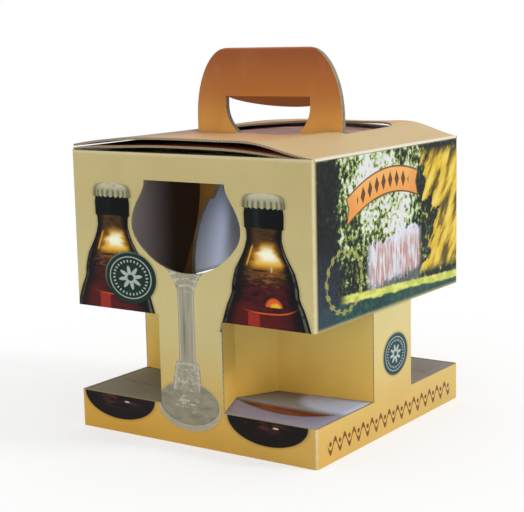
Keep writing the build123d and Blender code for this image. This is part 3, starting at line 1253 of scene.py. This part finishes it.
@dataclass(frozen=True)
class BareLiner(Finish):
    """Unprinted liner: bluish grey; inside the left wall it has painted light at the front,
    painted brown shade in the middle and painted bluish light at the back.
    """

    roughness: float = 0.7
    depth: float = 0.06
    grey: Colour = paint(158, 158, 160)
    pale: Colour = paint(172, 172, 176)
    # Painted light at the front of the left wall's inside.
    left: Colour = paint(204, 196, 202)
    # Painted brown shade inside the left wall.
    painted_shade: Colour = paint(64, 44, 28)
    # Painted bluish light at the back of the left wall's inside.
    back: Colour = paint(197, 212, 246)
    fleck: Colour = paint(126, 118, 104)

    def colour(self, g: Graph) -> Value:
        """Blends the parts of the liner, with painted light and shade inside the left wall.

        Args:
            g: The material's graph.

        Returns:
            The colour of the liner.
        """
        left = g.x.ease(-80, -100) * g.z.ease(92, 97)
        behind = g.y - 39.4 - (g.z - 130) * 0.34
        return g.coats(
            self.grey,
            (g.noise(30, 3).ease(0.3, 0.7), self.pale),
            (left, g.mix(g.y.ease(-46, 16), self.left, self.painted_shade)),
            (left * behind.ease(-0.5, 0.5), self.back),
            (g.noise(1.6, 4).ease(0.56, 0.7) * 0.2, self.fleck),
        )


@dataclass(frozen=True)
class SheetLiner(Finish):
    """Tray sheet: brown-grey liner with painted shade to the left, and a patch of painted
    blue-grey light behind the open slit.
    """

    roughness: float = 0.7
    depth: float = 0.06
    # Darker to the left: painted shade.
    left: Colour = paint(132, 124, 102)
    right: Colour = paint(144, 136, 130)
    front: Colour = paint(152, 146, 164)
    # Painted blue-grey light behind the open slit.
    pale: Colour = paint(194, 202, 232)
    painted_light_place: Spot = ((92.0, -26.0), (46.0, 44.0))

    def colour(self, g: Graph) -> Value:
        """Blends the parts of the sheet.

        Args:
            g: The material's graph.

        Returns:
            The colour of the sheet.
        """
        front = g.y.ease(-58, -70) * g.x.ease(0, 20)
        # Pale patch of painted light, kept off the front strip.
        pale = g.oval(g.x, g.y, *self.painted_light_place).ease(1.05, 0.8) * (1 - front)
        colour = g.coats(
            self.left, (g.x.ease(-70, 30), self.right), (front, self.front), (pale, self.pale))
        return g.shade(colour, g.noise(26, 3).ease(0.35, 0.68) * 0.08)


@dataclass(frozen=True)
class LipPrint(Finish):
    """Folded lip of the open slit, which shows the rust print of the sheet's back."""

    rust: Colour = paint(142, 72, 38)
    rubbed: Colour = paint(176, 104, 60)

    def colour(self, g: Graph) -> Value:
        """Colour of the lip."""
        return g.mix(g.noise(9, 4, (4.0, 1.0, 1.0)).ease(0.4, 0.64), self.rust, self.rubbed)


@dataclass(frozen=True)
class CutBoard(Finish):
    """Cut edge: the wavy medium, pressed almost flat between its two liners."""

    roughness: float = 0.8
    depth: float = 0.12
    dark: Colour = paint(138, 128, 100)
    pale: Colour = paint(170, 161, 132)
    dust: Colour = paint(146, 137, 110)

    def relief(self, g: Graph) -> Value:
        """Waves of the medium."""
        along = g.x + g.y + g.z * 0.6
        return (along * (2 * math.pi / self.ground.flute)).sin().ease(-0.6, 0.8)

    def colour(self, g: Graph) -> Value:
        """Colour of the cut."""
        dust = g.noise(3, 4).ease(0.45, 0.65) * 0.5
        return g.coats(self.dark, (self.relief(g) * 0.6, self.pale), (dust, self.dust))


class Side(Enum):
    """What a face of the board shows."""

    FRONT = "front print"
    FLANK = "flank print"
    STRIP = "pushed-in strip print"
    PLAIN = "plain print"
    UNDER_LID = "under lid print"
    LID = "lid print"
    HANDLE = "handle print"
    BARE = "bare liner"
    SHEET = "tray sheet liner"
    LIP = "folded lip"
    CUT = "cut board"


FINISHES = {
    Side.FRONT: FrontPrint(), Side.FLANK: FlankPrint(), Side.STRIP: StripPrint(),
    Side.PLAIN: Finish(), Side.UNDER_LID: UnderLidPrint(), Side.LID: LidPrint(),
    Side.HANDLE: HandlePrint(), Side.BARE: BareLiner(), Side.SHEET: SheetLiner(),
    Side.LIP: LipPrint(), Side.CUT: CutBoard(),
}
Materials = dict[Side, bpy.types.Material]


@dataclass
class BoardPiece:
    """A folded piece of board that stands for one node of the frame."""

    name: str
    node: str
    body: str
    slot: str
    weld: float = 0.002 * MM
    flat: float = math.radians(0.4)
    sharp: float = math.radians(50)
    softening: float = 0.22 * MM
    smooth_below: float = math.radians(32)

    def side_of(self, centre: Vector, normal: Vector) -> Side:
        """Says what a face shows, from its place in millimetres and its direction."""
        raise NotImplementedError

    def mend(self, bm: bmesh.types.BMesh) -> None:
        """Corrects the merged mesh before its edges are softened."""

    def soften(self, bm: bmesh.types.BMesh, edges: list[bmesh.types.BMEdge]) -> None:
        """Rounds edges a little.

        Args:
            bm: The mesh.
            edges: The edges that are rounded.
        """
        bmesh.ops.bevel(
            bm, geom=edges, offset=self.softening, segments=2, profile=0.5, affect="EDGES",
            clamp_overlap=True, material=-1)

    def shape(self, source: bpy.types.Object) -> bmesh.types.BMesh:
        """Merges a copy of the node's mesh and softens its sharp edges.

        Args:
            source: The node's object, which stays as it is.

        Returns:
            The new mesh.
        """
        bm = bmesh.new()
        bm.from_mesh(source.data)
        bmesh.ops.remove_doubles(bm, verts=bm.verts[:], dist=self.weld)
        bmesh.ops.dissolve_limit(
            bm, angle_limit=self.flat, verts=bm.verts[:], edges=bm.edges[:], delimit=set())
        self.mend(bm)
        sharp = [e for e in bm.edges if e.is_manifold and e.calc_face_angle() > self.sharp]
        self.soften(bm, sharp)
        return bm

    def build(self, frame: dict, materials: Materials) -> bpy.types.Object:
        """Makes the piece, dresses it and puts it in the place of its node.

        Args:
            frame: What the frame's load gave.
            materials: The material of every side of the board.

        Returns:
            The finished object.
        """
        bm = self.shape(frame["nodes"][self.node])
        used: list[Side] = []
        for face in bm.faces:
            side = self.side_of(face.calc_center_median() / MM, face.normal)
            if side not in used:
                used.append(side)
            face.material_index = used.index(side)
            face.smooth = True
        mesh = bpy.data.meshes.new(self.name)
        bm.to_mesh(mesh)
        bm.free()
        for side in used:
            mesh.materials.append(materials[side])
        mesh.set_sharp_from_angle(angle=self.smooth_below)
        piece = bpy.data.objects.new(self.name, mesh)
        bpy.context.scene.collection.objects.link(piece)
        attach(piece, self.body)
        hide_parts(self.node)
        log.info("%s: %d faces, %d finishes", self.name, len(mesh.polygons), len(used))
        return piece


@dataclass
class Carton(BoardPiece):
    """Sleeve with its strips, bottom, dust flaps and lower lid flap."""

    half: float = 104.0
    board: float = 1.6
    tray_top: float = 28.0
    band_foot: float = 93.0
    wall_top: float = 207.5
    level: float = 0.35
    lid_zone: float = 200.0
    window_middle: float = -2.0
    window_half: float = 42.0
    window_foot: Pair = (124.3, 143.2)
    window_curve: Pair = (0.00832, 0.00000142)
    window_sink: float = 0.3
    fold_zone: float = 204.0
    fold_lift: float = 1.7
    fold_reach: float = 46.0
    flap_half: float = 101.7

    def mend(self, bm: bmesh.types.BMesh) -> None:
        """Rounds the foot of both windows like the bowl of a glass.

        Args:
            bm: The merged mesh.
        """
        foot, rounded = self.window_foot
        steep, steeper = self.window_curve
        for vert in bm.verts:
            place = vert.co / MM
            beside = place.x - self.window_middle
            on_wall = abs(abs(place.y) - self.half + self.board / 2) < self.board / 2 + 0.1
            low = foot - self.window_sink - 0.1 < place.z < rounded
            if not on_wall or not low or abs(beside) > self.window_half:
                continue
            share = (rounded - foot) / (rounded - foot + self.window_sink)
            rise = (place.z - foot + self.window_sink) * share
            square = (math.sqrt(steep ** 2 + 4 * steeper * max(rise, 0.0)) - steep) / (2 * steeper)
            vert.co.x = (self.window_middle + math.copysign(math.sqrt(square), beside)) * MM
            vert.co.z = (foot + rise) * MM

    def shape(self, source: bpy.types.Object) -> bmesh.types.BMesh:
        """Lets the fold of the lower lid flap stand a little above the front wall.

        Args:
            source: The node's object.

        Returns:
            The new mesh.
        """
        bm = super().shape(source)
        for vert in bm.verts:
            place = vert.co / MM
            along = place.x + self.half
            if place.z > self.fold_zone and abs(place.y) < self.flap_half:
                vert.co.z += self.fold_lift * MM * max(0.0, 1 - along / self.fold_reach)
        return bm

    def side_of(self, centre: Vector, normal: Vector) -> Side:
        """Print outside, liner inside and cut board along the edges.

        Args:
            centre: Middle of the face in millimetres.
            normal: Its direction.

        Returns:
            What the face shows.
        """
        reach = max(abs(centre.x), abs(centre.y))
        outward = normal.x * math.copysign(1, centre.x) * (abs(centre.x) == reach)
        outward += normal.y * math.copysign(1, centre.y) * (abs(centre.y) == reach)
        if reach > self.half - 1.0 and outward > 0.4 and abs(normal.z) < 0.8:
            return Side.FRONT if abs(normal.y) > abs(normal.x) else Side.FLANK
        if centre.z > self.lid_zone and abs(normal.z) > self.level:
            if normal.z < 0:
                return Side.BARE
            if reach > self.half - self.board - 0.2:
                return Side.PLAIN
            return Side.UNDER_LID if centre.z > self.wall_top - 0.2 else Side.PLAIN
        if abs(normal.z) > 0.5:
            if centre.z < self.board * 3:
                return Side.PLAIN if normal.z < 0 else Side.BARE
            return Side.CUT
        if self.tray_top <= centre.z <= self.band_foot and reach < self.half - 0.9:
            facing = normal.x * math.copysign(1, centre.x) + normal.y * math.copysign(1, centre.y)
            return Side.STRIP if facing > 0 else Side.BARE
        inner = self.half - self.board
        if outward < -0.5 and abs(reach - inner) < 0.3:
            return Side.BARE
        return Side.CUT


@dataclass
class UpperLid(BoardPiece):
    """Upper lid flap with its opening for the handle."""

    fold: float = 103.8
    level: float = 0.35
    sink: float = 0.6
    free_edge: float = -104.0
    sink_reach: float = 30.0
    sink_start: float = -100.0
    sink_run: float = 40.0

    def shape(self, source: bpy.types.Object) -> bmesh.types.BMesh:
        """Lets the free edge sink a little towards the back.

        Args:
            source: The node's object.

        Returns:
            The new mesh.
        """
        bm = super().shape(source)
        for vert in bm.verts:
            place = vert.co / MM
            near = max(0.0, 1 - (place.x - self.free_edge) / self.sink_reach)
            back = min(1.0, max(0.0, (place.y - self.sink_start) / self.sink_run))
            vert.co.z -= self.sink * MM * near * back
        return bm

    def side_of(self, centre: Vector, normal: Vector) -> Side:
        """Print on top and round the fold, liner below."""
        if normal.z > self.level or (centre.x > self.fold and normal.x > 0.5):
            return Side.LID
        return Side.BARE if normal.z < -self.level else Side.CUT


@dataclass
class Handle(BoardPiece):
    """Handle with its hand hole, tongue and legs."""

    skin: float = 1.9
    crown: float = 276.0
    tongue: float = 2.6

    def side_of(self, centre: Vector, normal: Vector) -> Side:
        """Print on the outer faces, liner in the gap between the layers.

        Args:
            centre: Middle of the face in millimetres.
            normal: Its direction.

        Returns:
            What the face shows.
        """
        if centre.y > self.tongue or normal.z < -0.9 and abs(normal.y) > 0.2:
            return Side.HANDLE if normal.z < -0.5 else Side.BARE if normal.z > 0.5 else Side.CUT
        outward = normal.y * math.copysign(1, centre.y)
        if abs(centre.y) > self.skin and outward > 0.3:
            return Side.HANDLE
        if centre.z > self.crown and normal.z > 0.2:
            return Side.HANDLE
        if abs(normal.x) > 0.35 or abs(normal.z) > 0.5:
            return Side.CUT
        return Side.BARE


@dataclass
class TraySheet(BoardPiece):
    """Unprinted sheet in the tray, with its slits and the folded lip of the open one."""

    top: float = 27.7
    board: float = 1.6
    skirt: float = 99.0
    skirt_top: float = 18.0
    slit_y: float = -66.1
    slit_ends: Pair = (12.0, 95.0)
    lip_depth: float = 6.5
    lip_board: float = 0.9

    def shape(self, source: bpy.types.Object) -> bmesh.types.BMesh:
        """Hangs a thin lip from the far edge of the open slit.

        Args:
            source: The node's object.

        Returns:
            The new mesh.
        """
        bm = super().shape(source)
        verts = bmesh.ops.create_cube(bm, size=MM)["verts"]
        start, end = self.slit_ends
        size = (end - start, self.lip_board, self.lip_depth)
        middle = Vector((
            (start + end) / 2,
            self.slit_y + self.lip_board / 2,
            self.top - self.board - self.lip_depth / 2,
        ))
        bmesh.ops.scale(bm, vec=size, verts=verts)
        bmesh.ops.translate(bm, vec=middle * MM, verts=verts)
        self.soften(bm, list({edge for vert in verts for edge in vert.link_edges}))
        return bm

    def side_of(self, centre: Vector, normal: Vector) -> Side:
        """Liner on both sides, print on the lip and cut board round slits and hole.

        Args:
            centre: Middle of the face in millimetres.
            normal: Its direction.

        Returns:
            What the face shows.
        """
        under = self.top - self.board + 0.05
        at_slit = abs(centre.y - self.slit_y - self.lip_board / 2) < self.lip_board
        if at_slit and centre.z < under and self.slit_ends[0] < centre.x < self.slit_ends[1]:
            return Side.LIP
        inner = abs(centre.x) < self.skirt and abs(centre.y) < self.skirt
        cut = inner and abs(normal.z) < 0.3 and centre.z > self.skirt_top
        return Side.CUT if cut else Side.SHEET


@dataclass
class Studio:
    """Floor, light and camera."""

    floor_half: float = 4.0
    floor_colour: Colour = (0.95, 0.95, 0.95)
    floor_glow: float = 0.55
    white: Colour = (1.0, 1.0, 1.0)
    sun_from: tuple[float, float, float] = (0.85, 0.30, 0.43)
    sun_power: float = 1.25
    sun_angle: float = math.radians(14)
    sky: float = 0.9
    camera_place: tuple[float, float, float] = (0.5566, -0.8156, 0.2885)
    azimuth: float = math.radians(34.75)
    pitch: float = math.radians(9.60)
    roll: float = math.radians(-1.28)
    focal_pixels: float = 1319.0
    frame_width: float = 524.0
    sensor: float = 36.0

    def floor(self) -> None:
        """Lays a pale floor that keeps the shadow of the box."""
        bm = bmesh.new()
        bmesh.ops.create_grid(bm, x_segments=1, y_segments=1, size=self.floor_half)
        mesh = bpy.data.meshes.new("studio_floor")
        bm.to_mesh(mesh)
        bm.free()
        g = Graph("studio floor")
        matt = g.shader("ShaderNodeBsdfDiffuse", {"Color": self.floor_colour})
        glow = g.shader("ShaderNodeEmission", {"Color": self.white, "Strength": 1.0})
        mixed = g.shader("ShaderNodeMixShader", {0: g.seen() * self.floor_glow, 1: matt, 2: glow})
        g.node("ShaderNodeOutputMaterial", feeds={"Surface": mixed})
        mesh.materials.append(g.material)
        floor = bpy.data.objects.new("studio_floor", mesh)
        bpy.context.scene.collection.objects.link(floor)

    def light(self) -> None:
        """Sets one large soft lamp and an even sky, which looks white behind the box."""
        lamp = bpy.data.lights.new("key", "SUN")
        lamp.energy = self.sun_power
        lamp.angle = self.sun_angle
        key = bpy.data.objects.new("key", lamp)
        key.rotation_euler = Vector(self.sun_from).to_track_quat("Z", "Y").to_euler()
        bpy.context.scene.collection.objects.link(key)
        world = bpy.data.worlds.new("studio")
        bpy.context.scene.world = world
        t = Tree(world)
        even = t.shader("ShaderNodeBackground", {"Color": self.white, "Strength": self.sky})
        white = t.shader("ShaderNodeBackground", {"Color": self.white})
        mixed = t.shader("ShaderNodeMixShader", {0: t.seen(), 1: even, 2: white})
        t.node("ShaderNodeOutputWorld", feeds={"Surface": mixed})

    def camera(self) -> None:
        """Puts the camera where the photograph was taken from."""
        data = bpy.data.cameras.new("camera")
        data.sensor_fit = "HORIZONTAL"
        data.sensor_width = self.sensor
        data.lens = self.focal_pixels / self.frame_width * self.sensor
        camera = bpy.data.objects.new("camera", data)
        turn = Matrix.Rotation(self.azimuth, 4, "Z")
        lift = Matrix.Rotation(math.pi / 2 - self.pitch, 4, "X")
        spin = Matrix.Rotation(self.roll, 4, "Z")
        camera.matrix_world = Matrix.Translation(self.camera_place) @ turn @ lift @ spin
        bpy.context.scene.collection.objects.link(camera)
        bpy.context.scene.camera = camera

    def build(self) -> None:
        """Sets up the whole studio."""
        bpy.context.scene.view_settings.view_transform = "Standard"
        self.floor()
        self.light()
        self.camera()


def main() -> None:
    """Loads the frame, dresses every board and sets up the studio."""
    logging.basicConfig(level=logging.INFO, format="%(name)s %(message)s")
    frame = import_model()
    materials = {side: finish.material(side.value) for side, finish in FINISHES.items()}
    pieces = [
        Carton("carton_board", "carton", "box", "printed_board"),
        UpperLid("upper_lid_board", "top_flap", "lid", "printed_lid"),
        Handle("handle_board", "carry_handle", "box", "printed_handle"),
        TraySheet("tray_sheet_board", "tray_insert", "box", "plain_board"),
    ]
    for piece in pieces:
        piece.build(frame, materials)
    Studio().build()


if __name__ == "__main__":
    main()
